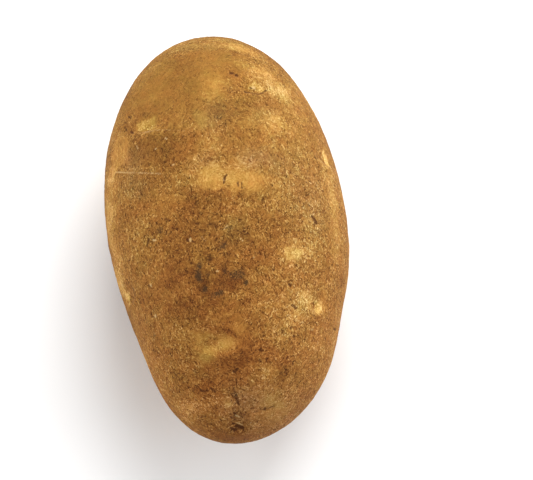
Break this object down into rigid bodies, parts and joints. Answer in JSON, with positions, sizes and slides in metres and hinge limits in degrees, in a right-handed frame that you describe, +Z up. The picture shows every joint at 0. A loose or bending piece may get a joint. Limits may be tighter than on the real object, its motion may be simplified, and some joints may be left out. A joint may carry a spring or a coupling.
{
  "type": "potato",
  "caption": "Russet potato lying on its broad back: a long, slightly bent tuber with a netted brown skin, shallow browed eyes and a stem scar.",
  "frame": {"origin": "on the resting plane, under the middle of the potato's box", "axes": "+Y runs along the potato towards its bud end, its longest way; +Z is up from the surface that it rests on, its shortest way; +X is across its broad face"},
  "size_m": [0.0754, 0.129, 0.0601],
  "materials": {
    "skin": null
  },
  "bodies": {
    "root": {"tuber": "skin"}
  },
  "joints": []
}
